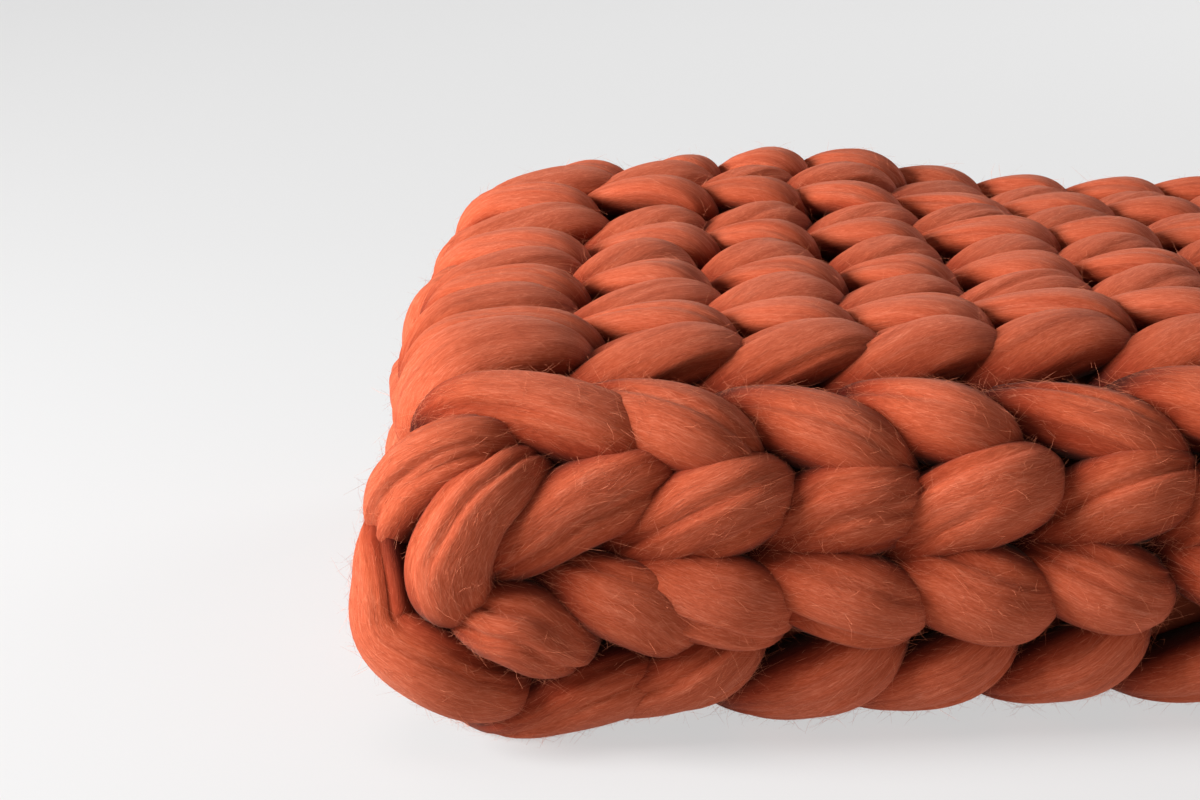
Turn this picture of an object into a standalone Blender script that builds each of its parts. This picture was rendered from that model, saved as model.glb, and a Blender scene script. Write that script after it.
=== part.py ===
"""Folded blanket of super-chunky knitted wool, as one closed panel.

Metres, +Z up. The stitch columns run along X. The first fold is at -X, the second fold is at -Y,
which is the front. The free ends are at +X and the selvedges at +Y.

The panel is laid out flat as a slab: "along" is the distance along the stitch columns, from the free
end of the outer layer, "across" is the distance across them, from the selvedge at the back of the top,
and "up" is the height above the slab's plain face. The slab is then bent round both folds.
"""

import math

import bmesh
import bpy
from mathutils import Vector

# Knitting
COLUMN = 0.080  # width of one column of stitches
ROW = 0.0525  # pitch of the stitches along a column
FIRST_ROW = 0.016  # from the free end to the first row's near edge
LEAN = 0.72 * ROW  # how far a stitch leg leans along the column between its two ends
CREST = 0.0075  # height of a stitch leg above the panel's mean face
GROOVE = 0.0065  # depth between two legs of one column
COLUMN_GROOVE = 0.0070  # depth between two columns
HEART_GROOVE = 0.0090  # depth at the middle line of a column

# Panel and folds
LAYER = 0.0355  # mean thickness of the panel
FOLD_RELIEF = 0.55  # share of the stitches' height left where the first fold stretches them
PAIR_SLIT = 0.0020  # gap between the outer and the inner layer
MIDDLE_SLIT = 0.0040  # gap between the upper and the lower pair of layers
ROWS_OUTER = 9.15  # rows on the flat part of the outer layer
COLUMNS_FLAT = 4.70  # columns on the flat part of the top, and of the underside
INNER_SHORT = 0.014  # how much the inner layer's free end stands back from the outer one's

# Softness
END_ROUND = 0.016  # length over which a free end or a selvedge thins out
END_THIN = 0.42  # share of the thickness left at the very edge
CROWN = 0.004  # rise of the top towards its middle
HUMP = 0.008  # further rise at the back of the top, over the first fold's half
SAG = 0.008  # drop of the top towards the back of the free ends
SETTLE = 0.0055  # how far the underside's legs are pressed flat by the surface below
SLANT = 0.040  # how far the first fold leans to the right from front to back
SPREAD = 0.007  # how far the first fold stands out further at the bottom than at the top
CORNER = 0.100  # length of the rounded corner where the first fold meets the back
CORNER_TURN = 0.045  # how far that corner is turned in
CORNER_DROP = 0.010  # how far it drops
FRONT_CORNER = 0.055  # length of the rounded corner where the first fold meets the second
FRONT_CORNER_TURN = 0.016  # how far that corner is turned in

WOOL = (0.56, 0.155, 0.065, 1.0)
WOOL_ROUGHNESS = 0.92

PAIR_HALF = PAIR_SLIT / 2 + LAYER
FOLD_RADIUS = PAIR_HALF + MIDDLE_SLIT / 2
OUTER_RADIUS = FOLD_RADIUS + PAIR_HALF
HEIGHT = 2 * OUTER_RADIUS

FLAT_ALONG = ROWS_OUTER * ROW
FOLD_ALONG = math.pi * PAIR_HALF
TOTAL_ALONG = 2 * FLAT_ALONG + FOLD_ALONG - INNER_SHORT
FLAT_ACROSS = COLUMNS_FLAT * COLUMN
FOLD_ACROSS = math.pi * OUTER_RADIUS
TOTAL_ACROSS = 2 * FLAT_ACROSS + FOLD_ACROSS
MIDDLE_ACROSS = TOTAL_ACROSS / 2

# One leg's height over its own width: share of the row pitch from its near edge, share of the crest.
LEG_STEPS = ((0.0, -1.0), (0.09, 0.25), (0.30, 1.0), (0.58, 0.95), (0.84, 0.35))
# Lines across half a column: share from the column's edge to its middle line.
HALF_STEPS_SHOWN = (0.0, 0.30, 0.68)
HALF_STEPS_UNDER = (0.0, 0.27, 0.73)


def smooth(value):
    """Eased share, from 0 to 1."""
    value = min(max(value, 0.0), 1.0)
    return value * value * (3 - 2 * value)


def column_place(across):
    """Column number and the share from its edge (0) to its middle line (1)."""
    place = (across - MIDDLE_ACROSS) / COLUMN
    number = math.floor(place + 1e-9)
    share = place - number
    return number, 1 - abs(2 * share - 1)


def wobble(along, across):
    """Small unevenness of the hand-knitted surface."""
    return 0.0012 * math.sin(31 * along + 17 * across) + 0.0010 * math.sin(47 * across - 23 * along + 1.3)


def taper(along, across):
    """Share of the thickness left near the selvedges and the free ends."""
    nearest = min(along, TOTAL_ALONG - along, across, TOTAL_ACROSS - across)
    share = min(nearest / END_ROUND, 1.0)
    return END_THIN + (1 - END_THIN) * math.sqrt(max(0.0, 1 - (1 - share) ** 2))


def leg_height(step, share):
    """Height of the knitted face over its mean, for one line of a leg."""
    edge = math.sin(math.pi * min(max(share, 0.0), 1.0))
    fill = min(1.0, edge / math.sin(math.pi * 0.30))
    low = COLUMN_GROOVE if share < 0.5 else HEART_GROOVE
    top = CREST * LEG_STEPS[step][1] if step else -GROOVE
    return top * fill - low * (1 - fill)


def bend(along, across, up):
    """Where a point of the flat slab lies on the folded blanket."""
    # First fold: x runs to the right, depth is measured outwards from the middle of the pair.
    if along <= FLAT_ALONG:
        x, depth = -along, PAIR_SLIT / 2 + up
    elif along <= FLAT_ALONG + FOLD_ALONG:
        turn = (along - FLAT_ALONG) / PAIR_HALF
        reach = PAIR_SLIT / 2 + up
        x, depth = -FLAT_ALONG - reach * math.sin(turn), reach * math.cos(turn)
    else:
        x, depth = -2 * FLAT_ALONG - FOLD_ALONG + along, -PAIR_SLIT / 2 - up
    # Second fold.
    if across <= FLAT_ACROSS:
        y, z = FLAT_ACROSS - across, FOLD_RADIUS + depth
    elif across <= FLAT_ACROSS + FOLD_ACROSS:
        turn = (across - FLAT_ACROSS) / OUTER_RADIUS
        y, z = -(FOLD_RADIUS + depth) * math.sin(turn), (FOLD_RADIUS + depth) * math.cos(turn)
    else:
        y, z = across - FLAT_ACROSS - FOLD_ACROSS, -FOLD_RADIUS - depth
    return settle(x + FLAT_ALONG / 2, y - FLAT_ACROSS / 2, z + OUTER_RADIUS)


def settle(x, y, z):
    """The soft shape under its own weight: crowned on top, flat where it meets the surface."""
    half_x = FLAT_ALONG / 2
    half_y = FLAT_ACROSS / 2
    left = min(max((half_x - x) / FLAT_ALONG, 0.0), 1.0)
    back = smooth((y + half_y) / (2 * half_y))
    level = smooth(z / HEIGHT)
    crown = CROWN * max(0.0, 1 - (x / half_x) ** 2) * max(0.0, 1 - ((y - 0.04) / (half_y + 0.09)) ** 2)
    crown += HUMP * smooth(y / 0.12) * smooth((0.02 - x) / 0.10)
    droop = SAG * smooth((x + 0.12) / 0.22) * smooth((y + 0.10) / 0.24)
    corner = min(max((y - half_y + CORNER) / CORNER, 0.0), 1.0)
    corner = (1 - math.sqrt(1 - 0.98 * corner * corner)) * left ** 3
    front = min(max((FRONT_CORNER - y - half_y - OUTER_RADIUS) / FRONT_CORNER, 0.0), 1.0)
    front = (1 - math.sqrt(1 - 0.98 * front * front)) * left ** 3
    x += SLANT * back * left - SPREAD * (1 - level) * left
    x += CORNER_TURN * corner + FRONT_CORNER_TURN * front
    z += (crown - droop - CORNER_DROP * corner + wobble(x, y)) * level
    return x, y, max(0.0, z - SETTLE)


class Skin:
    """Collects the points and faces of the panel."""

    def __init__(self):
        self.mesh = bmesh.new()

    def point(self, along, across, up):
        return self.mesh.verts.new(bend(along, across, up))

    def face(self, *corners):
        self.mesh.faces.new(corners)

    def grid(self, lines):
        """Faces between neighbouring lines that have the same number of points."""
        for first, second in zip(lines, lines[1:]):
            for k in range(len(first) - 1):
                self.face(first[k][1], second[k][1], second[k + 1][1], first[k + 1][1])

    def zip_up(self, first, second):
        """Triangles between two lines of (place, point) whose points differ in number."""
        i = j = 0
        while i < len(first) - 1 or j < len(second) - 1:
            step_first = j == len(second) - 1 or (
                i < len(first) - 1 and first[i + 1][0] <= second[j + 1][0]
            )
            if step_first:
                self.face(first[i][1], second[j][1], first[i + 1][1])
                i += 1
            else:
                self.face(first[i][1], second[j][1], second[j + 1][1])
                j += 1


def across_lines():
    """Places of the lines across the knitted face: fine where it shows, coarser underneath."""
    places = [0.0, END_ROUND * 0.3]
    first = math.ceil(-MIDDLE_ACROSS / COLUMN)
    for number in range(first, -first):
        edge = MIDDLE_ACROSS + number * COLUMN
        under = number >= 2
        steps = HALF_STEPS_UNDER if under else HALF_STEPS_SHOWN
        half = COLUMN / 2
        places += [edge + half * step for step in steps]
        places += [edge + half] + [edge + half * (2 - step) for step in reversed(steps) if step > 0]
    places.append(MIDDLE_ACROSS - first * COLUMN)
    places += [TOTAL_ACROSS - END_ROUND * 0.3, TOTAL_ACROSS]
    return places


def shift(place, across):
    """Lean of a row's line towards the free end, away from that end and the hidden inner layer."""
    share = column_place(across)[1]
    near_free = smooth(place / (1.5 * ROW))
    near_inner = 1 - smooth((place - FLAT_ALONG - 0.55 * FOLD_ALONG) / (0.4 * FOLD_ALONG))
    return LEAN * share * near_free * near_inner


def knitted_lines(skin):
    """The knitted face of the outer layer and of the first fold, line by line along the columns."""
    places = across_lines()
    last = FLAT_ALONG + FOLD_ALONG
    steps = len(LEG_STEPS)
    lines = []
    start = FIRST_ROW
    stops = [(0.0, None), (END_ROUND * 0.3, None)]
    row = 0
    # A row's near edge is on its left, so its lines are counted from there towards the free end.
    while start + row * ROW <= last + 1e-6:
        for step in range(steps - 1, -1, -1):
            place = start + (row - LEG_STEPS[step][0]) * ROW
            if END_ROUND * 0.6 < place <= last + 1e-6:
                stops.append((place, step))
        row += 1
    if last - stops[-1][0] > 0.004:
        stops.append((last, None))
    for place, step in stops:
        inner = smooth((place - FLAT_ALONG - 0.50 * FOLD_ALONG) / (0.45 * FOLD_ALONG))
        relief = 1 - (1 - FOLD_RELIEF) * smooth((place - FLAT_ALONG + 0.01) / 0.035)
        line = []
        for across in places:
            share = column_place(across)[1]
            along = place - (shift(place, across) if step is not None else 0.0)
            high = leg_height(step, share) if step is not None else -0.003
            high = high * relief * (1 - inner) - 0.0015 * inner
            up = LAYER * (0.5 + 0.5 * taper(along, across)) + high * taper(along, across)
            line.append((across, skin.point(along, across, up)))
        lines.append(line)
    return lines, last


def plain_line(skin, along, places, knitted):
    """One line of a plain face: the hidden inner layer's knitted side, or the panel's reverse."""
    line = []
    for across in places:
        thin = taper(along, across)
        up = LAYER * (0.5 + 0.5 * thin) - 0.0015 if knitted else LAYER * (0.5 - 0.5 * thin)
        line.append((across, skin.point(along, across, up)))
    return line


def coarse_across():
    """Places of the lines across the plain faces: close together only round the second fold."""
    flat = [END_ROUND * 0.4] + [FLAT_ACROSS * k / 5 for k in range(1, 5)]
    turn = [FLAT_ACROSS + FOLD_ACROSS * k / 14 for k in range(15)]
    back = [TOTAL_ACROSS - place for place in reversed(flat)]
    return [0.0] + flat + turn + back + [TOTAL_ACROSS]


def build_panel():
    skin = Skin()
    knitted, last = knitted_lines(skin)
    places = coarse_across()
    far = TOTAL_ALONG
    inner_places = [last + 0.03 + (far - last - 0.03) * k / 5 for k in range(5)]
    inner_places += [far - END_ROUND * 0.4, far]
    inner = [plain_line(skin, along, places, True) for along in inner_places]
    reverse_places = [far, far - END_ROUND * 0.4]
    reverse_places += [far - (far - last) * k / 5 for k in range(1, 5)]
    reverse_places += [last - FOLD_ALONG * k / 6 for k in range(7)]
    reverse_places += [FLAT_ALONG * k / 6 for k in range(5, 0, -1)] + [END_ROUND * 0.4, 0.0]
    reverse = [plain_line(skin, along, places, False) for along in reverse_places]
    skin.grid(knitted)
    skin.zip_up(knitted[-1], inner[0])
    skin.grid(inner)
    skin.zip_up(inner[-1], reverse[0])
    skin.grid(reverse)
    skin.zip_up(reverse[-1], knitted[0])
    for end in (0, -1):
        outer = [line[end][1] for line in knitted + inner]
        under = [line[end][1] for line in reversed(reverse)]
        outer_at = [line_place(knitted, k, last) for k in range(len(knitted))] + inner_places
        under_at = list(reversed(reverse_places))
        skin.zip_up(list(zip(outer_at, outer)), list(zip(under_at, under)))
    bmesh.ops.recalc_face_normals(skin.mesh, faces=skin.mesh.faces)
    centre_on_origin(skin.mesh)
    return skin.mesh


def centre_on_origin(panel):
    """Puts the middle of the underside's bounding box at the origin."""
    places = [vert.co for vert in panel.verts]
    low = Vector(min(place[k] for place in places) for k in range(3))
    high = Vector(max(place[k] for place in places) for k in range(3))
    middle = (low + high) / 2
    bmesh.ops.translate(panel, verts=panel.verts, vec=(-middle.x, -middle.y, -low.z))


def line_place(knitted, k, last):
    """A steadily growing stand-in for a knitted line's place, for zipping the selvedges."""
    return last * k / (len(knitted) - 1)


def wool_material():
    material = bpy.data.materials.new("terracotta_wool")
    material.use_nodes = True
    shader = material.node_tree.nodes["Principled BSDF"]
    shader.inputs["Base Color"].default_value = WOOL
    shader.inputs["Roughness"].default_value = WOOL_ROUGHNESS
    shader.inputs["Sheen Weight"].default_value = 0.4
    return material


for thing in list(bpy.data.objects):
    bpy.data.objects.remove(thing, do_unlink=True)

collection = bpy.data.collections.new("knit_blanket")
bpy.context.scene.collection.children.link(collection)
mesh = bpy.data.meshes.new("knit_blanket")
panel = build_panel()
panel.to_mesh(mesh)
panel.free()
mesh.materials.append(wool_material())
blanket = bpy.data.objects.new("knit_blanket", mesh)
collection.objects.link(blanket)
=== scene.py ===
"""Looks of the folded chunky-knit blanket.

Every stitch leg is its own fat strand of combed wool, laid on the folded panel of the CAD solid. Short
strands run in a chain along the panel's edges, and loose fibres stand off the front and the top.

The panel is described as a flat slab: "along" is the distance along the stitch columns from the outer
layer's free end, "across" the distance across them from the top's selvedge, "up" the height above the
slab's plain face. bend() folds the slab as the part's source does. Metres, +Z up, the front fold at -Y.
"""

import math

import bpy
import numpy as np
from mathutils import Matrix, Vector


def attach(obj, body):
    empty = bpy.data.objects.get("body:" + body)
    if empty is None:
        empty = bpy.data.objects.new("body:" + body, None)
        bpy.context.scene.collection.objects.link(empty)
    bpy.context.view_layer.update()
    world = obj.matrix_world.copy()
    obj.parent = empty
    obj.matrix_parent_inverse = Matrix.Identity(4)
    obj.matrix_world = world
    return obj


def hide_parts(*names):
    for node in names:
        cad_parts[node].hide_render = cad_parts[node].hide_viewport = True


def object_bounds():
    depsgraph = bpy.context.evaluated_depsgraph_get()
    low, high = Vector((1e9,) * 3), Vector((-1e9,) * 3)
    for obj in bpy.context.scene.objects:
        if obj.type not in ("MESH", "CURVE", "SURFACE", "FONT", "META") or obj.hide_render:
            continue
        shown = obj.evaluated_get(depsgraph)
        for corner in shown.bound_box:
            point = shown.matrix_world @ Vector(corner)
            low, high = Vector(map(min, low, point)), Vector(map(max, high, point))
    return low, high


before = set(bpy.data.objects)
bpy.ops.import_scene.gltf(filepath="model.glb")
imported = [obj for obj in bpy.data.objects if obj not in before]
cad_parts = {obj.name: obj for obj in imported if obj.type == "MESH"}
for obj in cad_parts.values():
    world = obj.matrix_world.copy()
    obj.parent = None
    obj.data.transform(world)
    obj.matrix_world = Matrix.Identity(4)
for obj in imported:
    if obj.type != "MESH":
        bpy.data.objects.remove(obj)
cad_low, cad_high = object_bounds()

# Knitting, as in the part's source
COLUMN = 0.080
ROW = 0.0525
FIRST_ROW = 0.016
LAYER = 0.0355
PAIR_SLIT = 0.0020
MIDDLE_SLIT = 0.0040
ROWS_OUTER = 9.15
COLUMNS_FLAT = 4.70
INNER_SHORT = 0.014

PAIR_HALF = PAIR_SLIT / 2 + LAYER
FOLD_RADIUS = PAIR_HALF + MIDDLE_SLIT / 2
OUTER_RADIUS = FOLD_RADIUS + PAIR_HALF
HEIGHT = 2 * OUTER_RADIUS
FLAT_ALONG = ROWS_OUTER * ROW
FOLD_ALONG = math.pi * PAIR_HALF
TOTAL_ALONG = 2 * FLAT_ALONG + FOLD_ALONG - INNER_SHORT
FLAT_ACROSS = COLUMNS_FLAT * COLUMN
FOLD_ACROSS = math.pi * OUTER_RADIUS
TOTAL_ACROSS = 2 * FLAT_ACROSS + FOLD_ACROSS
MIDDLE_ACROSS = TOTAL_ACROSS / 2

# The CAD solid's box says where the slab's own middle lies.
SHIFT_X = cad_high.x - FLAT_ALONG / 2
SHIFT_Y = cad_high.y - FLAT_ACROSS / 2

# Softness: how the stack sinks, leans and rounds off, as in the part's source but with a higher hump, a
# larger corner at the back and a foot. x and y count from the middle of the flat top.
CROWN = 0.004  # rise of the top towards its middle
CROWN_BACK = 0.04  # how far behind the middle the crown is highest
CROWN_WIDER = 0.09  # how far the crown reaches past half the depth
HUMP = 0.011  # further rise at the back of the top, over the first fold's half
HUMP_DEPTH = 0.12  # from the middle backwards, over which the hump rises
HUMP_RIGHT = 0.02  # x where the hump starts
HUMP_LENGTH = 0.10  # from there to the left, over which it rises
SAG = 0.008  # drop of the top towards the back of the free ends
SAG_LEFT = -0.12  # x where the sag starts
SAG_LENGTH = 0.22  # from there to the right, over which it deepens
SAG_FRONT = -0.10  # y where the sag starts
SAG_DEPTH = 0.24  # from there backwards, over which it deepens
SETTLE = 0.0055  # how far the underside is pressed flat by the floor
SLANT = 0.040  # how far the first fold leans to the right from front to back
SPREAD = 0.007  # how far the first fold stands out further at the bottom than at the top
CORNER = 0.160  # length of the rounded corner at the left and back
CORNER_TURN = 0.085  # how far that corner is turned in
CORNER_DROP = 0.016  # how far it drops
FRONT_CORNER = 0.055  # length of the rounded corner at the left and front
FRONT_CORNER_TURN = 0.016  # how far that corner is turned in
FOOT = 0.056  # height below which the left end is drawn in
FOOT_TURN = 0.036  # how far it is drawn in at the floor
ARC_END = 0.98  # share of a quarter round that a corner makes, squared: its end isn't quite upright
FLOOR_GAP = 0.0004  # the lowest that any wool comes

# A stitch leg from its tip, deep at the column's edge, to its blunt end, which dives in by the middle line.
# right and share: how far towards the V's point, along and across the column; the rest in metres.
# rise: height of the strand's middle over the panel's mean face; wide and thick: half sizes.
LEG_KEYS = {
    "right": (-0.20, 0.00, 0.22, 0.47, 0.70, 0.87, 0.97, 1.00),
    "share_upper": (0.00, 0.09, 0.25, 0.43, 0.58, 0.69, 0.75, 0.77),
    "share_lower": (0.00, 0.11, 0.32, 0.54, 0.70, 0.81, 0.87, 0.89),
    "rise": (-0.0260, -0.0185, -0.0115, -0.0062, -0.0040, -0.0072, -0.0160, -0.0270),
    "wide": (0.0070, 0.0114, 0.0158, 0.0183, 0.0182, 0.0164, 0.0135, 0.0100),
    "thick": (0.0070, 0.0095, 0.0125, 0.0145, 0.0152, 0.0148, 0.0138, 0.0120),
}
LEG_ROLL = math.radians(8)  # how far a leg is turned about its own middle
LEG_REACH = 0.054  # how far a leg's end lies to the right of its row's place
UPPER_RISE = 0.0015  # how much higher the upper leg of a stitch lies
LOWER_SINK = 0.0008  # how much deeper the lower one lies, away from the front
# How unevenly the legs are knitted, as standard deviations
SLIP_SPREAD = 0.0017  # of a leg's place along and across
SLIP_UP_SHARE = 0.7  # of its height, against that
SIZE_SPREAD = 0.05  # of its thickness, as a share
ROLL_SPREAD = 0.10  # of its turn, in radians
REACH_SPREAD = 0.003  # of its end's place along
# Legs away from the front are pressed flatter, and the painted shade in their grooves is lighter.
FRONT_COLUMNS = (-1, 0)
TOP_THICKNESS = 0.66  # against a front leg's
TOP_RELIEF = 0.64  # how far they stand out, against a front leg
TOP_FACE_DROP = 0.0060  # how far below the face their shade is measured from
# The first fold stretches the legs that lie on it.
FOLD_LEAD = 0.010  # how far before the fold that starts
FOLD_DROP = 0.013  # how far the panel's face sinks
FOLD_FLATTER = 0.45  # share of the relief that is lost
FOLD_WIDER = 0.32  # share by which the legs widen
# How much deeper in shade a leg's blunt end and its tip lie, and over what share of its length.
BLUNT_SHADE = 0.0055
TIP_SHADE = 0.0030
END_SHARE = 0.34

# What follows departs from the even pattern, one by one from the photograph. Column 0 is the front's lower
# one and -1 its upper one. Those below -1 lie on the top and those above 0 on the underside. Rows count from
# the free end. In a key, True stands for a stitch's lower leg and False for its upper leg.
# How far the tips on each line between columns lie to the right of the row's place.
LINE_SLIDE = {-5: -0.003, -4: 0.004, -3: 0.008, -2: -0.002, -1: -0.0125, 0: -0.003, 1: -0.010}
# How far a line between columns, or a column's middle line, lies below its even place.
LINE_DRIFT = {0: -0.006, 1: 0.005}
MIDDLE_DRIFT = {-1: 0.002, 0: -0.012}
# How far towards the middle line a column's legs go, against the even share.
SHARE_SCALE = {(0, False): 0.86, (0, True): 1.07}
# How much deeper the legs of some columns lie, by column and leg.
HIDDEN_DROP = {(0, True): -0.0015, (1, False): 0.018, (1, True): 0.006}
# How far below its even place the end of a front leg lies: column, row and leg. The shift follows an eased
# run from END_SHIFT_START to 1, so that the leg's first part keeps its place.
END_SHIFT = {
    (-1, 8, False): 0.003, (-1, 7, False): 0.008, (-1, 6, False): -0.002, (-1, 5, False): 0.004,
    (-1, 7, True): 0.008, (-1, 5, True): 0.003,
}
END_SHIFT_START = -0.3
# How far a front leg's end lies to the right of its row's place, row by row from FRONT_ROW down.
FRONT_ROW = 10
FRONT_REACH = {
    (-1, False): (0.046, 0.056, 0.048, 0.056, 0.045, 0.060),
    (-1, True): (0.060, 0.067, 0.062, 0.058, 0.063, 0.062),
    (0, False): (0.080, 0.080, 0.067, 0.063, 0.056, 0.050),
    (0, True): (0.070, 0.070, 0.053, 0.050, 0.046, 0.041),
}
# How far the tips of the last rows of the top are drawn over the first fold, and how far those rows rise.
SHOULDER_STRETCH = {9: 0.034, 10: 0.022}
SHOULDER_RISE = {9: 0.001, 10: -0.0055}

# The stitches round the front's left end, listed one by one from the photograph. Every place gives along,
# across from the front's middle line, rise, half width and half thickness, in millimetres.
CORNER_LEGS = {
    "a": ((548, -2, -20, 10, 9), (540, -17, -11, 14, 12), (528, -34, -6, 16.5, 14),
          (510, -46, -2, 16.5, 14.5), (493, -52, -2, 15, 14), (480, -54, -7, 13, 13),
          (474, -54, -18, 10, 11)),
    "b": ((461, -46, -21, 11, 11), (468, -44, -10, 12.5, 13), (479, -38, -3, 14, 14.5),
          (491, -29, 0, 15.5, 15), (498, -18, 1, 16.5, 15), (501, -7, 0, 17, 14.5),
          (499, 3, -5, 16.5, 13.5), (494, 9, -20, 13, 11)),
    "c": ((494, -3, -22, 7, 7), (486, -7, -13, 10, 9), (474, -16, -7, 14, 13),
          (458, -26, -4.5, 16.5, 15.5), (440, -33, -5, 17, 16), (424, -39, -8, 16, 15),
          (417, -42, -18, 14, 13)),
    "one": ((518, -79, -20, 8, 8), (504, -77, -11, 11, 10), (488, -75, -7, 14.5, 13),
            (468, -70, -4, 16.5, 15), (449, -63, -3, 17, 16), (432, -57, -6, 16, 15),
            (422, -53, -18, 14, 13)),
    "d": ((550, -28, -13, 15, 12), (540, -12, -6, 20, 13.5), (531, 8, -3.5, 20.5, 14),
          (521, 29, -1, 18.5, 15), (503, 38, -1, 18, 15), (486, 47, -3, 16, 14),
          (472, 52, -8, 14, 13), (466, 54, -18, 11, 11)),
    "d_outer": ((572, -20, -22, 7, 6), (564, 6, -15, 10, 9), (556, 32, -14, 11, 10), (544, 56, -12, 11, 10),
                (528, 76, -12, 10, 9), (512, 84, -18, 8, 7)),
    "e": ((499, 13, -22, 9, 9), (491, 13, -13, 13, 12), (483, 14, -7, 15.5, 14),
          (474, 16, -3, 16.5, 15.5), (462, 22, -4, 16.5, 15.5), (452, 27, -9, 15, 14),
          (448, 29, -20, 12, 12)),
    "f": ((468, -6, -22, 8, 8), (456, -2, -12, 12, 11), (441, 4, -6, 16.5, 14.5),
          (426, 10, -4, 17.5, 15.5), (414, 17, -7, 16, 15), (407, 21, -19, 13, 13)),
    "g": ((500, 86, -14, 8, 7), (486, 82, -8, 11, 10), (466, 67, -5, 17, 14), (446, 54, -4, 19, 15),
          (428, 47, -5, 18, 14.5), (414, 46, -10, 14, 13), (408, 44, -20, 12, 11)),
}
MILLIMETRES = 1000  # in a metre
CORNER_RINGS = 60
CORNER_AROUND = 44
# Stitches that the corner's own ones stand for: column, row and leg.
CORNER_PLACES = {
    (-1, 9, False), (-1, 9, True), (-1, 10, False), (-1, 10, True), (-1, 11, True),
    (0, 11, False), (0, 10, False), (0, 9, False), (0, 9, True), (0, 10, True),
}
# Each piece of stitches: its columns, the rings along a strand and the points round it.
STITCH_PIECES = {
    "stitches_top_back": ((-6, -5, -4), 34, 28),
    "stitches_top_front": ((-3, -2), 40, 34),
    "stitches_front_upper": ((-1,), 52, 44),
    "stitches_front_lower": ((0,), 52, 44),
    "stitches_under": ((1, 2, 3, 4, 5), 24, 20),
}

# The chain of short strands along the panel's edges
EDGE_STITCH = 0.046  # pitch of the strands
EDGE_LEAD = 0.16  # how far a strand starts before its own place, in stitches
EDGE_REACH = 1.28  # its length, in stitches
EDGE_INSET = 0.012  # from the panel's edge to a strand's middle
EDGE_END = 0.016  # from the panel's corners to the chain's ends
EDGE_THICKNESS = 0.0178  # half width of a strand
EDGE_FLATTER = 0.95  # its half thickness against its half width
EDGE_TIP = 0.25  # its size at the ends against its middle
EDGE_TAPER = 0.08  # how much of a half wave its outline leaves out at either end
EDGE_FULLNESS = 0.8  # power of that half wave: under 1 for a full belly
EDGE_TILT = 0.004  # how much higher a strand ends than it starts
EDGE_SLIP = 0.0006  # how uneven its height is, as a standard deviation
EDGE_SIZE_SPREAD = 0.04  # how uneven its size is, as a share
EDGE_SHADE = 0.005  # how far below the strands' middle their shade is measured from
EDGE_RINGS = 22
EDGE_AROUND = 20

# The surface of a strand. Sizes are shares of its own, angles are radians from its outer side.
PROBE = 0.002  # step up and down that shows which way is out of the panel
RING_CROWDING = 0.35  # how much a ring's points crowd towards the outer side
RIDGES = ((4, 0.016), (7, 0.010), (12, 0.006))  # number round the strand, height
RIDGE_PHASES = 6.3  # a little over a full turn
RIDGE_TWIST = 2.5  # the most that a ridge turns over the strand's length
CREASE_COUNTS = (2, 5)  # at least the first, fewer than the second
CREASE_SPREAD = 1.4  # how far from the outer side a crease can start
CREASE_TWIST = 0.5  # the most that it turns over the strand's length
CREASE_FADE = 0.2  # share of the length over which it sets in, and over which it ends
CREASE_ENDS = (0.6, 1.1)  # share of the length where it has ended
CREASE_DEPTHS = (0.06, 0.17)  # shallowest and deepest
CREASE_WIDTH = 0.11  # from its middle to where it has lost most of its depth
TEXTURE_ROUND = 0.09  # metres of texture round a strand
TEXTURE_STARTS = 9  # metres of texture along which the strands start at random

# Loose fibres
FIBRE_COUNTS = {"fibres_front": 48000, "fibres_top": 30000}
FIBRE_WIDTH = 0.000034  # half the width of a ribbon
FIBRE_STEPS = ((0.0, 1.0), (0.5, 1.0), (1.0, 0.4))  # share of the length, share of the width
FIBRE_MARGIN = 2  # rings at either end of a strand where no fibre starts
FIBRE_CROWDING = 5.5  # fibres start within about one part in so many of a ring from its outer side
FIBRE_DRIFT = 0.45  # how far a fibre strays from the strand's direction
FIBRE_LIFT = 0.3  # the most that it leans outwards
FIBRE_CURL = 0.35  # how far it bends, against its length
FIBRE_INWARD = 0.6  # how much of the bend is back to the strand
FIBRE_SHAPE = 3.0  # shape and scale of the lengths' gamma distribution
FIBRE_SCALE = 0.0019
FIBRE_LENGTHS = (0.002, 0.012)  # shortest and longest

# The panel's inside, which shows only between the strands, painted far darker than the wool as painted shade
CORE_UNDER = 0.003  # over the slab's plain face
CORE_TOP = 0.014  # under the panel's mean face
CORE_INSET = 0.014  # inside the panel's edges
CORE_STEPS_ALONG = (30, 12, 20)  # places on the first flat part, the fold and the second flat part
CORE_STEPS_ACROSS = (16, 20, 16)

# Colours, linear
WOOL = (0.421, 0.075, 0.0295)
DEEP_WOOL = (0.370, 0.061, 0.023)
LIGHT_WOOL = (0.475, 0.102, 0.046)
FUZZ_WOOL = (0.72, 0.26, 0.14)  # the palest loose fibres
INNER_PAINTED_SHADE = ((0.090, 0.016, 0.007), (0.160, 0.030, 0.012))  # dark and light, both painted shade far darker than the wool itself
SHEEN = (1.0, 0.78, 0.62, 1)
FLOOR = (0.22, 0.22, 0.222)
FLOOR_DARKER = 0.985  # the floor's darker patches against its colour
FLOOR_GLOW = 0.565  # strength of the floor's own white light
WHITE = (1, 1, 1, 1)

# Noise drawn out along the strands: scale along and round a strand, detail and roughness.
FINE_FIBRES = (260, 2300, 4, 0.75)
TUFTS = (34, 380, 5, 0.62)
STREAKS = (9, 130, 3, 0.55)
NOISE_DISTORTION = 0.4
SWAY_SCALE = 22  # scale and detail of the noise that sways the fibres
SWAY_DETAIL = 2
SWAY = 0.012  # how far it sways them round the strand, in metres
# How deep each pattern stands in the surface, in metres.
FINE_DEPTH = 0.00022
TUFT_DEPTH = 0.0002
STREAK_DEPTH = 0.0004
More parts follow.
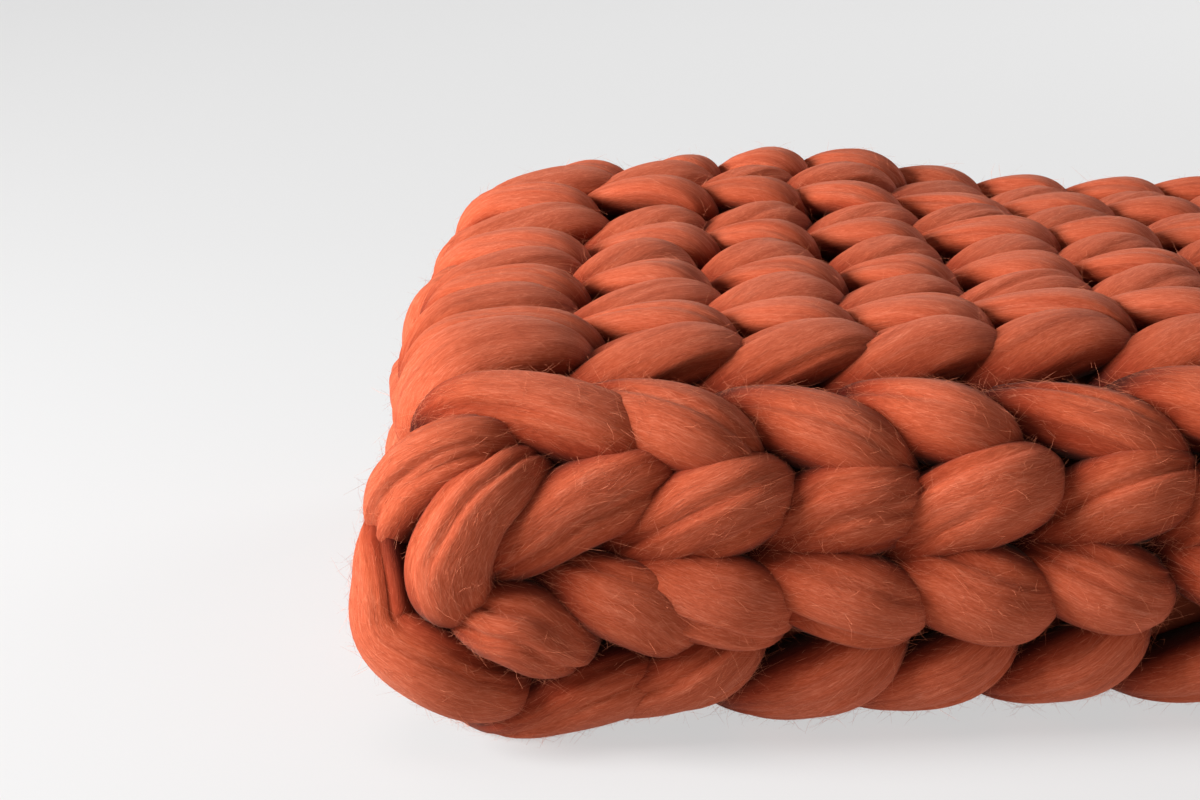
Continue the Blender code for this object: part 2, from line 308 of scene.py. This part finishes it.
# Colours or tints, each with the noise's value, or the strand's own tone, that it stands for.
TUFT_COLOURS = ((0.22, DEEP_WOOL), (0.50, WOOL), (0.80, LIGHT_WOOL))
FINE_TINTS = ((0.33, (0.80, 0.76, 0.73)), (0.5, (0.97, 0.97, 0.97)), (0.66, (1.16, 1.46, 1.74)))
STREAK_TINTS = ((0.30, (0.62, 0.52, 0.48)), (0.42, (1, 1, 1)))
STREAK_SHARE = 0.5  # how much of the streaks' tint shows
TONE_TINTS = ((0.0, (0.90, 0.88, 0.86)), (1.0, (1.06, 1.06, 1.08)))
# Heights over the panel's face, in metres, between which the painted shade fades, and the painted shade from
# low to high, with a painted highlight that pales the strands' tops.
SHADE_LOW = -0.012
SHADE_HIGH = 0.0095
SHADE_AND_HIGHLIGHT_TINTS = (
    (0.0, (0.03, 0.012, 0.009)), (0.38, (0.155, 0.064, 0.043)), (0.66, (0.61, 0.43, 0.365)),
    (0.90, (0.99, 0.98, 0.97)), (1.0, (1.02, 1.09, 1.18)),
)
# Sockets of the Mix node that hold colours.
MIX_FIRST = 6
MIX_SECOND = 7
MIX_RESULT = 2

# Stage, light and camera
STAGE_RINGS = 40
STAGE_SPOKES = 72
STAGE_MIDDLE = 0.02  # radius of the floor's innermost ring
STAGE_FLAT = 4.5  # radius of its flat part
STAGE_RISE = 2.5  # radius of the sweep behind that
BLANKET_MIDDLE = (0.0, 0.0, 0.08)
LIGHT_COLOUR = (1.0, 0.99, 0.98)
ROOM_COLOUR = (0.93, 0.95, 1.0, 1)
ROOM_STRENGTH = 0.06
# The photograph's view: a 90 mm lens, turned right of the front fold's normal and tipped down.
CAMERA_PLACE = (-0.2988, -1.2653, 0.390)
CAMERA_TURN = math.radians(6.6)
CAMERA_TIP = math.radians(13.45)
CAMERA_LENS = 90
CAMERA_SENSOR = 36
CAMERA_NEAR = 0.05

TINY = 1e-12  # the shortest length that a vector is divided by

rng = np.random.default_rng(7)


# The folded shape


def smooth(value):
    """Eased share, from 0 to 1."""
    value = np.clip(value, 0.0, 1.0)
    return value * value * (3 - 2 * value)


def arc(share):
    """How far a rounded corner falls away, from 0 to 1, over a share of its length."""
    share = np.clip(share, 0.0, 1.0)
    return 1 - np.sqrt(1 - ARC_END * share * share)


def settle(x, y, z):
    """The soft shape under its own weight, much as in the part's source."""
    half_x = FLAT_ALONG / 2
    half_y = FLAT_ACROSS / 2
    left = np.clip((half_x - x) / FLAT_ALONG, 0.0, 1.0)
    left_end = left ** 3
    back = smooth((y + half_y) / FLAT_ACROSS)
    level = smooth(z / HEIGHT)
    crown = CROWN * np.clip(1 - (x / half_x) ** 2, 0, None)
    crown = crown * np.clip(1 - ((y - CROWN_BACK) / (half_y + CROWN_WIDER)) ** 2, 0, None)
    hump = HUMP * smooth(y / HUMP_DEPTH) * smooth((HUMP_RIGHT - x) / HUMP_LENGTH)
    sag = SAG * smooth((x - SAG_LEFT) / SAG_LENGTH) * smooth((y - SAG_FRONT) / SAG_DEPTH)
    corner = arc((y - half_y + CORNER) / CORNER) * left_end
    front = arc((FRONT_CORNER - y - half_y - OUTER_RADIUS) / FRONT_CORNER) * left_end
    foot = arc((FOOT - z) / FOOT) * left_end
    x = x + SLANT * back * left - SPREAD * (1 - level) * left
    x = x + CORNER_TURN * corner + FRONT_CORNER_TURN * front + FOOT_TURN * foot
    z = z + (crown + hump - sag - CORNER_DROP * corner) * level
    return x, y, np.maximum(FLOOR_GAP, z - SETTLE)


def bend(along, across, up):
    """Points of the folded blanket, as an array of (x, y, z), for places in the flat slab."""
    along, across, up = np.broadcast_arrays(*(np.asarray(value, float) for value in (along, across, up)))
    reach = PAIR_SLIT / 2 + up
    turn = np.clip((along - FLAT_ALONG) / PAIR_HALF, 0, math.pi)
    x = np.where(along <= FLAT_ALONG, -along, -FLAT_ALONG - reach * np.sin(turn))
    depth = reach * np.cos(turn)
    inner = along > FLAT_ALONG + FOLD_ALONG
    x = np.where(inner, -2 * FLAT_ALONG - FOLD_ALONG + along, x)
    radius = FOLD_RADIUS + depth
    turn = np.clip((across - FLAT_ACROSS) / OUTER_RADIUS, 0, math.pi)
    y = -radius * np.sin(turn)
    y = np.where(across <= FLAT_ACROSS, FLAT_ACROSS - across, y)
    y = np.where(across > FLAT_ACROSS + FOLD_ACROSS, across - FLAT_ACROSS - FOLD_ACROSS, y)
    z = radius * np.cos(turn)
    x, y, z = settle(x + FLAT_ALONG / 2, y - FLAT_ACROSS / 2, z + OUTER_RADIUS)
    return np.stack([x + SHIFT_X, y + SHIFT_Y, z], axis=-1)


def unit(vectors):
    """The same directions, one metre long."""
    return vectors / np.maximum(np.linalg.norm(vectors, axis=-1, keepdims=True), TINY)


def path_axes(along, across, up):
    """A path's points on the folded blanket, and its directions ahead, to the side and out of the panel."""
    middle = bend(along, across, up)
    ahead = unit(np.gradient(middle, axis=0))
    out = unit(bend(along, across, up + PROBE) - bend(along, across, up - PROBE))
    side = unit(np.cross(ahead, out))
    return middle, ahead, side, np.cross(side, ahead)


def eased(keys, count):
    """A smooth run of count values through evenly spaced keys, as a Catmull-Rom curve."""
    keys = np.asarray(keys, float)
    at = np.linspace(0, len(keys) - 1, count)
    low = np.clip(at.astype(int), 0, len(keys) - 2)
    t = at - low
    padded = np.concatenate([[2 * keys[0] - keys[1]], keys, [2 * keys[-1] - keys[-2]]])
    before, first, second, after = (padded[low + step] for step in range(4))
    slope = second - before
    bow = 2 * before - 5 * first + 4 * second - after
    twist = 3 * first - before - 3 * second + after
    return (2 * first + slope * t + bow * t**2 + twist * t**3) / 2


# Meshes


def mesh_of(name, points, faces, material):
    """A smooth-shaded mesh of faces that all have the same number of corners."""
    sides = faces.shape[1]
    mesh = bpy.data.meshes.new(name)
    mesh.vertices.add(len(points))
    mesh.vertices.foreach_set("co", points.reshape(-1).astype(np.float32))
    mesh.loops.add(faces.size)
    mesh.loops.foreach_set("vertex_index", faces.reshape(-1).astype(np.int32))
    mesh.polygons.add(len(faces))
    mesh.polygons.foreach_set("loop_start", np.arange(0, faces.size, sides, dtype=np.int32))
    mesh.polygons.foreach_set("loop_total", np.full(len(faces), sides, np.int32))
    mesh.update(calc_edges=True)
    mesh.polygons.foreach_set("use_smooth", np.ones(len(faces), bool))
    mesh.materials.append(material)
    return mesh


def show(name, mesh):
    """Adds a piece of the blanket, which stands for the CAD solid."""
    piece = bpy.data.objects.new(name, mesh)
    bpy.context.scene.collection.objects.link(piece)
    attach(piece, "root")
    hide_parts("knit_blanket")
    return piece


def tube_faces(count, around):
    """Quads between count rings of around points each."""
    here = np.arange(count - 1)[:, None] * around
    point = np.arange(around)[None, :]
    after = (point + 1) % around
    quads = (here + point, here + after, here + after + around, here + point + around)
    return np.stack(quads, axis=-1).reshape(-1, 4)


# Strands


def combing(angle, share):
    """Shallow ridges and a few creases that run along a strand, as a share of its size."""
    swell = np.zeros((share.size, angle.size))
    for number, height in RIDGES:
        phase = rng.uniform(0, RIDGE_PHASES)
        twist = rng.uniform(-RIDGE_TWIST, RIDGE_TWIST)
        swell += height * np.sin(number * angle + phase + twist * share)
    for _ in range(rng.integers(*CREASE_COUNTS)):
        place = rng.uniform(-CREASE_SPREAD, CREASE_SPREAD)
        centre = place + rng.uniform(-CREASE_TWIST, CREASE_TWIST) * share
        reach = smooth(share / CREASE_FADE) * smooth((rng.uniform(*CREASE_ENDS) - share) / CREASE_FADE)
        apart = (angle - centre + math.pi) % (2 * math.pi) - math.pi
        swell -= rng.uniform(*CREASE_DEPTHS) * reach * np.exp(-((apart / CREASE_WIDTH) ** 2))
    return swell


def texture_places(middle, ring):
    """Where the corners of a strand's faces lie in the wool's texture: along the strand and round it."""
    start = rng.uniform(0, TEXTURE_STARTS)
    steps = np.linalg.norm(np.diff(middle, axis=0), axis=1)
    down = np.concatenate([[0], np.cumsum(steps)]) + start
    turn = np.append(ring, 2 * math.pi) / (2 * math.pi) * TEXTURE_ROUND + start
    grid = np.stack(np.meshgrid(down, turn, indexing="ij"), axis=-1)
    corners = (grid[:-1, :-1], grid[:-1, 1:], grid[1:, 1:], grid[1:, :-1])
    return np.stack(corners, axis=2).reshape(-1, 4, 2)


class Wool:
    """Collects strands of combed wool for one piece of the blanket."""

    def __init__(self):
        self.points, self.faces, self.places = [], [], []
        self.tones, self.heights = [], []
        # Each strand's points and its directions ahead, for loose fibres to start from
        self.surfaces = []
        self.total = 0

    def strand(self, path, size, around, face, roll=0.0):
        """Adds a fat strand with around points in each of its rings.

        path: along, across and up of the rings' middles. size: their half widths and half thicknesses.
        face: the height that the shade is measured from. roll: the strand's turn about its own middle.
        """
        tone = rng.uniform(0, 1)
        along, across, up = path
        middle, ahead, side, out = path_axes(along, across, up)
        wide, thick = (half[:, None] for half in size)
        count = len(middle)
        ring = np.linspace(0, 2 * math.pi, around, endpoint=False)
        ring = ring - RING_CROWDING * np.sin(ring)
        angle = ring[None, :]
        swell = 1 + combing(angle, np.linspace(0, 1, count)[:, None])
        flat = np.sin(angle) * wide * swell
        tall = np.cos(angle) * thick * swell
        to_side = flat * math.cos(roll) - tall * math.sin(roll)
        to_out = flat * math.sin(roll) + tall * math.cos(roll)
        shell = middle[:, None] + side[:, None] * to_side[..., None] + out[:, None] * to_out[..., None]
        shell[..., 2] = np.maximum(shell[..., 2], FLOOR_GAP)
        self.points.append(shell.reshape(-1, 3))
        self.faces.append(tube_faces(count, around) + self.total)
        self.places.append(texture_places(middle, ring))
        self.tones.append(np.full(count * around, tone))
        self.heights.append((up[:, None] + to_out - np.reshape(face, (-1, 1))).reshape(-1))
        self.surfaces.append((shell, ahead))
        self.total += count * around

    def build(self, name, material):
        """Makes one piece of the blanket of all the strands."""
        mesh = mesh_of(name, np.concatenate(self.points), np.concatenate(self.faces), material)
        layer = mesh.uv_layers.new(name="strand")
        layer.data.foreach_set("uv", np.concatenate(self.places).reshape(-1).astype(np.float32))
        for label, values in (("tone", self.tones), ("height", self.heights)):
            carried = mesh.attributes.new(label, "FLOAT", "POINT")
            carried.data.foreach_set("value", np.concatenate(values).astype(np.float32))
        return show(name, mesh)


# Materials


def new_material(name):
    """A material, its nodes and its shader."""
    material = bpy.data.materials.new(name)
    material.use_nodes = True
    tree = material.node_tree
    return material, tree, tree.nodes["Principled BSDF"]


def set_sockets(node, **values):
    """Sets a node's own sockets. An underscore stands for the space in a socket's name."""
    for name, value in values.items():
        node.inputs[name.replace("_", " ")].default_value = value


def ramp(tree, source, stops):
    """A colour for each value of source. Every stop is a value and its colour."""
    node = tree.nodes.new("ShaderNodeValToRGB")
    elements = node.color_ramp.elements
    while len(elements) < len(stops):
        elements.new(0.5)
    for element, (at, colour) in zip(elements, stops):
        element.position = at
        element.color = (*colour, 1)
    tree.links.new(source, node.inputs["Fac"])
    return node.outputs["Color"]


def multiplied(tree, first, second, share=1.0):
    """The first colour times the second, or only a share of the way there."""
    node = tree.nodes.new("ShaderNodeMix")
    node.data_type = "RGBA"
    node.blend_type = "MULTIPLY"
    node.inputs["Factor"].default_value = share
    tree.links.new(first, node.inputs[MIX_FIRST])
    tree.links.new(second, node.inputs[MIX_SECOND])
    return node.outputs[MIX_RESULT]


def bump(tree, source, depth, below=None):
    """The surface's direction with the relief of source, on top of the relief below."""
    node = tree.nodes.new("ShaderNodeBump")
    set_sockets(node, Strength=1.0, Distance=depth)
    tree.links.new(source, node.inputs["Height"])
    if below is not None:
        tree.links.new(below, node.inputs["Normal"])
    return node.outputs["Normal"]


def attribute(tree, name):
    """A value that each point of a strand carries."""
    node = tree.nodes.new("ShaderNodeAttribute")
    node.attribute_name = name
    return node.outputs["Fac"]


def swayed_places(tree):
    """The strands' texture places, swayed a little so that the fibres don't run dead straight."""
    place = tree.nodes.new("ShaderNodeUVMap")
    place.uv_map = "strand"
    wave = tree.nodes.new("ShaderNodeTexNoise")
    set_sockets(wave, Scale=SWAY_SCALE, Detail=SWAY_DETAIL)
    tree.links.new(place.outputs["UV"], wave.inputs["Vector"])
    sway = tree.nodes.new("ShaderNodeVectorMath")
    sway.operation = "MULTIPLY_ADD"
    sway.inputs[1].default_value = (0.0, SWAY, 0.0)
    tree.links.new(wave.outputs["Color"], sway.inputs[0])
    tree.links.new(place.outputs["UV"], sway.inputs[2])
    return sway.outputs["Vector"]


def combed_noise(tree, places, pattern):
    """Noise drawn out along the strands."""
    scale_along, scale_round, detail, roughness = pattern
    fit = tree.nodes.new("ShaderNodeMapping")
    set_sockets(fit, Scale=(scale_along, scale_round, 1))
    noise = tree.nodes.new("ShaderNodeTexNoise")
    noise.noise_dimensions = "2D"
    set_sockets(noise, Scale=1.0, Detail=detail, Roughness=roughness, Distortion=NOISE_DISTORTION)
    tree.links.new(places, fit.inputs["Vector"])
    tree.links.new(fit.outputs["Vector"], noise.inputs["Vector"])
    return noise.outputs["Fac"]


def shade_share(tree):
    """From 0 in the deepest grooves to 1 on the strands' tops."""
    node = tree.nodes.new("ShaderNodeMapRange")
    set_sockets(node, From_Min=SHADE_LOW, From_Max=SHADE_HIGH)
    tree.links.new(attribute(tree, "height"), node.inputs["Value"])
    return node.outputs["Result"]


def wool_material():
    """Combed wool: fine fibres along each strand, darker streaks, painted shade in the grooves and a painted
    highlight on the strands' tops.
    """
    material, tree, shader = new_material("combed_wool")
    places = swayed_places(tree)
    patterns = (FINE_FIBRES, TUFTS, STREAKS)
    fine, tufts, streaks = (combed_noise(tree, places, pattern) for pattern in patterns)
    colour = ramp(tree, tufts, TUFT_COLOURS)
    colour = multiplied(tree, colour, ramp(tree, fine, FINE_TINTS))
    colour = multiplied(tree, colour, ramp(tree, streaks, STREAK_TINTS), STREAK_SHARE)
    colour = multiplied(tree, colour, ramp(tree, attribute(tree, "tone"), TONE_TINTS))
    # painted shade darkens the grooves and a painted highlight pales the strands' tops
    colour = multiplied(tree, colour, ramp(tree, shade_share(tree), SHADE_AND_HIGHLIGHT_TINTS))
    tree.links.new(colour, shader.inputs["Base Color"])
    normal = bump(tree, streaks, STREAK_DEPTH)
    normal = bump(tree, tufts, TUFT_DEPTH, normal)
    normal = bump(tree, fine, FINE_DEPTH, normal)
    tree.links.new(normal, shader.inputs["Normal"])
    set_sockets(shader, Roughness=0.92, Specular_IOR_Level=0.08)
    set_sockets(shader, Sheen_Weight=0.08, Sheen_Roughness=0.45, Sheen_Tint=SHEEN)
    return material


def speckled_material(name, dark, light, noise_scale, roughness, specular):
    """A finish that varies softly between two colours: the material and its shader."""
    material, tree, shader = new_material(name)
    noise = tree.nodes.new("ShaderNodeTexNoise")
    set_sockets(noise, Scale=noise_scale)
    colour = ramp(tree, noise.outputs["Fac"], ((0.0, dark), (1.0, light)))
    tree.links.new(colour, shader.inputs["Base Color"])
    set_sockets(shader, Roughness=roughness, Specular_IOR_Level=specular)
    return material, shader


def core_material():
    """The panel's inside: the wool painted far darker, as painted shade between the strands."""
    dark, light = INNER_PAINTED_SHADE
    return speckled_material("inner_wool_painted_shade", dark, light, noise_scale=60, roughness=0.95, specular=0.05)[0]


def fibre_material():
    """Single loose fibres."""
    return speckled_material("loose_fibres", WOOL, FUZZ_WOOL, noise_scale=90, roughness=0.7, specular=0.2)[0]


def floor_material():
    """The floor's pale finish, with a barely visible unevenness and a faint glow."""
    dark = tuple(part * FLOOR_DARKER for part in FLOOR)
    material, shader = speckled_material(
        "pale_floor", dark, FLOOR, noise_scale=1.5, roughness=0.6, specular=0.1,
    )
    set_sockets(shader, Emission_Color=WHITE, Emission_Strength=FLOOR_GLOW)
    return material


# Stitches


def tip(row, line):
    """Where a stitch's leg starts on the line between two columns: along and across."""
    along = FIRST_ROW + row * ROW - LINE_SLIDE.get(line, 0.0)
    return along, MIDDLE_ACROSS + line * COLUMN + LINE_DRIFT.get(line, 0.0)


def leg_reach(row, column, lower):
    """How far the leg's end lies to the right of its row's place."""
    reaches = FRONT_REACH.get((column, lower))
    if reaches is None:
        return LEG_REACH + rng.normal(0, REACH_SPREAD)
    place = min(max(FRONT_ROW - row, 0), len(reaches))
    return (reaches + (LEG_REACH,))[place]


def end_shade(rings):
    """How much deeper a strand's two ends lie in shade than its middle, as a height."""
    run = np.linspace(0, 1, rings)
    blunt = smooth((run - 1 + END_SHARE) / END_SHARE)
    return BLUNT_SHADE * blunt + TIP_SHADE * smooth((END_SHARE - run) / END_SHARE)


def leg(wool, row, column, lower, rings, around):
    """One leg of a V stitch, a little uneven as knitting is."""
    keys = {name: eased(values, rings) for name, values in LEG_KEYS.items()}
    slip_along, slip_across, slip_up = rng.normal(0, SLIP_SPREAD, 3)
    size = 1 + rng.normal(0, SIZE_SPREAD)
    tip_along, tip_across = tip(row, column + 1 if lower else column)
    middle = MIDDLE_ACROSS + (column + 0.5) * COLUMN + MIDDLE_DRIFT.get(column, 0.0)
    end = FIRST_ROW + row * ROW - leg_reach(row, column, lower)
    along = tip_along + (end - tip_along) * keys["right"] + slip_along
    share = keys["share_lower" if lower else "share_upper"] * SHARE_SCALE.get((column, lower), 1.0)
    shift = END_SHIFT.get((column, row, lower), 0.0) * smooth(np.linspace(END_SHIFT_START, 1, rings))
    across = tip_across + (middle - tip_across) * share + slip_across + shift
    folded = smooth((along - FLAT_ALONG + FOLD_LEAD) / (FOLD_ALONG / 2))
    face = LAYER - FOLD_DROP * folded
    rise = keys["rise"] * (1 - FOLD_FLATTER * folded) + slip_up * SLIP_UP_SHARE
    rise = rise + (0 if lower else UPPER_RISE) - HIDDEN_DROP.get((column, lower), 0.0)
    wide = keys["wide"] * size * (1 + FOLD_WIDER * folded)
    thick = keys["thick"] * size
    roll = (-1 if lower else 1) * (LEG_ROLL + rng.normal(0, ROLL_SPREAD))
    shade_face = face + end_shade(rings)
    if column not in FRONT_COLUMNS:
        thick = thick * TOP_THICKNESS
        rise = rise * TOP_RELIEF + (-LOWER_SINK if lower else UPPER_RISE) + SHOULDER_RISE.get(row, 0.0)
        along = along + SHOULDER_STRETCH.get(row, 0.0) * np.linspace(1, 0, rings) ** 2
        shade_face = shade_face - TOP_FACE_DROP
    wool.strand((along, across, face + rise), (wide, thick), around, shade_face, roll)


def stitch_columns(columns, rings, around):
    """All the stitches of some columns, apart from those that the corner's own ones stand for."""
    wool = Wool()
    last_row = math.floor((FLAT_ALONG + FOLD_ALONG - FIRST_ROW) / ROW)
    for column in columns:
        for row in range(last_row, 0, -1):
            for lower in (False, True):
                if (column, row, lower) not in CORNER_PLACES:
                    leg(wool, row, column, lower, rings, around)
    return wool


def corner_legs():
    """The stitches that turn round the front's left end."""
    wool = Wool()
    face = LAYER + end_shade(CORNER_RINGS)
    for places in CORNER_LEGS.values():
        runs = (eased(values, CORNER_RINGS) / MILLIMETRES for values in zip(*places))
        along, across, rise, wide, thick = runs
        wool.strand((along, across + MIDDLE_ACROSS, LAYER + rise), (wide, thick), CORNER_AROUND, face)
    return wool


def edge_chain(wool, places, length):
    """Short strands in a row along an edge. places gives along and across for a run from 0 to 1."""
    count = round(length / EDGE_STITCH)
    run = np.linspace(0, 1, EDGE_RINGS)
    belly = np.sin(math.pi * (EDGE_TAPER + (1 - 2 * EDGE_TAPER) * run)) ** EDGE_FULLNESS
    outline = EDGE_THICKNESS * (EDGE_TIP + (1 - EDGE_TIP) * belly)
    for index in range(count):
        along, across = places((index - EDGE_LEAD + EDGE_REACH * run) / count)
        up = LAYER / 2 + EDGE_TILT * (run - 0.5) + rng.normal(0, EDGE_SLIP)
        wide = outline * (1 + rng.normal(0, EDGE_SIZE_SPREAD))
        wool.strand((along, across, up), (wide, wide * EDGE_FLATTER), EDGE_AROUND, LAYER / 2 - EDGE_SHADE)


def edges():
    """The panel's two bound ends and its two selvedges."""
    wool = Wool()
    span = TOTAL_ACROSS - 2 * EDGE_END
    for end in (EDGE_INSET, TOTAL_ALONG - EDGE_INSET):
        edge_chain(wool, lambda run: (np.full_like(run, end), EDGE_END + span * run), span)
    span = TOTAL_ALONG - 2 * EDGE_END
    for side in (EDGE_INSET, TOTAL_ACROSS - EDGE_INSET):
        edge_chain(wool, lambda run: (EDGE_END + span * run, np.full_like(run, side)), span)
    return wool


def fibre_roots(wools, count):
    """Random places on the strands, mostly on their outer sides: points, directions ahead and outwards."""
    surfaces = [surface for wool in wools for surface in wool.surfaces]
    starts, aheads, outs = [], [], []
    for pick in rng.integers(0, len(surfaces), count):
        shell, ahead = surfaces[pick]
        rings, around = shell.shape[:2]
        ring = rng.integers(FIBRE_MARGIN, rings - FIBRE_MARGIN)
        point = round(rng.normal(0, around / FIBRE_CROWDING)) % around
        starts.append(shell[ring, point])
        aheads.append(ahead[ring])
        outs.append(unit(shell[ring, point] - shell[ring].mean(axis=0)))
    return (np.array(values) for values in (starts, aheads, outs))


def loose_fibres(name, wools, count, material):
    """Fine hairs that stand off the strands, as narrow ribbons."""
    starts, aheads, outs = fibre_roots(wools, count)
    drift = rng.normal(0, FIBRE_DRIFT, (count, 3))
    heading = aheads * rng.choice((-1, 1), (count, 1)) + outs * rng.uniform(0.0, FIBRE_LIFT, (count, 1))
    heading = unit(heading + drift)
    curl = unit(rng.normal(0, 1, (count, 3)) - outs * FIBRE_INWARD) * FIBRE_CURL
    length = rng.gamma(FIBRE_SHAPE, FIBRE_SCALE, (count, 1)).clip(*FIBRE_LENGTHS)
    to_side = unit(np.cross(heading, rng.normal(0, 1, (count, 3)))) * FIBRE_WIDTH
    rows = []
    for share, width in FIBRE_STEPS:
        at = starts + heading * length * share + curl * length * share**2
        rows += [at - to_side * width, at + to_side * width]
    points = np.stack(rows, axis=1)
    points[..., 2] = np.maximum(points[..., 2], FLOOR_GAP)
    quads = np.array([(0, 1, 3, 2), (2, 3, 5, 4)]) + np.arange(count)[:, None, None] * len(rows)
    return show(name, mesh_of(name, points.reshape(-1, 3), quads.reshape(-1, 4), material))


def core_steps(flat, fold, total, counts):
    """Places along or across the panel: its first flat part, its fold and its second flat part."""
    first, bent, second = counts
    return np.concatenate([
        np.linspace(CORE_INSET, flat, first),
        np.linspace(flat, flat + fold, bent)[1:],
        np.linspace(flat + fold, total - CORE_INSET, second)[1:],
    ])


def core(material):
    """The panel's inside, as a closed sheet."""
    along = core_steps(FLAT_ALONG, FOLD_ALONG, TOTAL_ALONG, CORE_STEPS_ALONG)
    across = core_steps(FLAT_ACROSS, FOLD_ACROSS, TOTAL_ACROSS, CORE_STEPS_ACROSS)
    sides = (bend(along[:, None], across[None, :], up) for up in (LAYER - CORE_TOP, CORE_UNDER))
    points = np.concatenate([side.reshape(-1, 3) for side in sides])
    rows, cols = len(along), len(across)
    number = np.arange(rows * cols).reshape(rows, cols)
    corners = (number[:-1, :-1], number[:-1, 1:], number[1:, 1:], number[1:, :-1])
    top = np.stack(corners, axis=-1).reshape(-1, 4)
    rim = np.concatenate([number[0], number[1:, -1], number[-1, -2::-1], number[-2:0:-1, 0]])
    after = np.roll(rim, -1)
    wall = np.stack([rim, after, after + rows * cols, rim + rows * cols], axis=-1)
    faces = np.concatenate([top, top[:, ::-1] + rows * cols, wall])
    return show("panel_core", mesh_of("panel_core", points, faces, material))


wools = {name: stitch_columns(*how) for name, how in STITCH_PIECES.items()}
wools["stitches_corner"] = corner_legs()
wools["stitches_edges"] = edges()
combed_wool = wool_material()
pieces = [wool.build(name, combed_wool) for name, wool in wools.items()]

fuzz = fibre_material()
roots = {
    "fibres_front": ("stitches_front_upper", "stitches_front_lower", "stitches_corner"),
    "fibres_top": ("stitches_top_back", "stitches_top_front", "stitches_edges"),
}
for name, carriers in roots.items():
    pieces.append(loose_fibres(name, [wools[carrier] for carrier in carriers], FIBRE_COUNTS[name], fuzz))
pieces.append(core(core_material()))


# Stage, light and camera


def sweep_floor(material):
    """A round pale floor that rises into a backdrop far behind, the same from every side."""
    half = STAGE_RINGS // 2
    rise = np.linspace(0, math.pi / 2, half + 1)[1:]
    flat = np.linspace(STAGE_MIDDLE, STAGE_FLAT, half)
    radius = np.concatenate([flat, STAGE_FLAT + STAGE_RISE * np.sin(rise)])[:, None]
    height = np.concatenate([np.zeros(half), STAGE_RISE * (1 - np.cos(rise))])[:, None]
    turn = np.linspace(0, 2 * math.pi, STAGE_SPOKES, endpoint=False)
    points = np.stack([radius * np.cos(turn), radius * np.sin(turn), height + 0 * turn], axis=-1)
    points = points.reshape(-1, 3)
    upwards = tube_faces(STAGE_RINGS, STAGE_SPOKES)[:, (0, 3, 2, 1)]
    middle = np.arange(STAGE_SPOKES)[None, :]
    for name, used, faces in (("floor", points, upwards), ("floor_middle", points[:STAGE_SPOKES], middle)):
        made = bpy.data.objects.new(name, mesh_of(name, used, faces, material))
        bpy.context.scene.collection.objects.link(made)


def area_light(name, place, target, size, power):
    """A round soft light at place, turned towards target."""
    light = bpy.data.lights.new(name, "AREA")
    light.shape = "DISK"
    light.size = size
    light.energy = power
    light.color = LIGHT_COLOUR
    lamp = bpy.data.objects.new(name, light)
    lamp.location = place
    lamp.rotation_euler = (Vector(target) - Vector(place)).to_track_quat("-Z", "Y").to_euler()
    bpy.context.scene.collection.objects.link(lamp)


def soft_room():
    """The faint, even light of the room."""
    world = bpy.data.worlds.new("soft_room")
    bpy.context.scene.world = world
    world.use_nodes = True
    set_sockets(world.node_tree.nodes["Background"], Color=ROOM_COLOUR, Strength=ROOM_STRENGTH)


def photograph_camera():
    """The camera at the photograph's view."""
    lens = bpy.data.cameras.new("camera")
    lens.lens = CAMERA_LENS
    lens.sensor_width = CAMERA_SENSOR
    lens.clip_start = CAMERA_NEAR
    camera = bpy.data.objects.new("camera", lens)
    camera.location = CAMERA_PLACE
    camera.rotation_euler = (math.pi / 2 - CAMERA_TIP, 0, -CAMERA_TURN)
    bpy.context.scene.collection.objects.link(camera)
    bpy.context.scene.camera = camera


sweep_floor(floor_material())
area_light("window", place=(-2.3, -0.40, 1.05), target=BLANKET_MIDDLE, size=1.1, power=137)
area_light("ceiling", place=(-0.8, -0.2, 2.4), target=BLANKET_MIDDLE, size=1.6, power=12)
area_light("fill", place=(2.6, 2.2, 1.5), target=BLANKET_MIDDLE, size=1.6, power=50)
area_light("backdrop", place=(0.3, 1.8, 2.6), target=(0.5, 6.2, 1.0), size=2.5, power=28)
soft_room()
photograph_camera()
bpy.context.scene.view_settings.view_transform = "Standard"

bpy.context.view_layer.update()
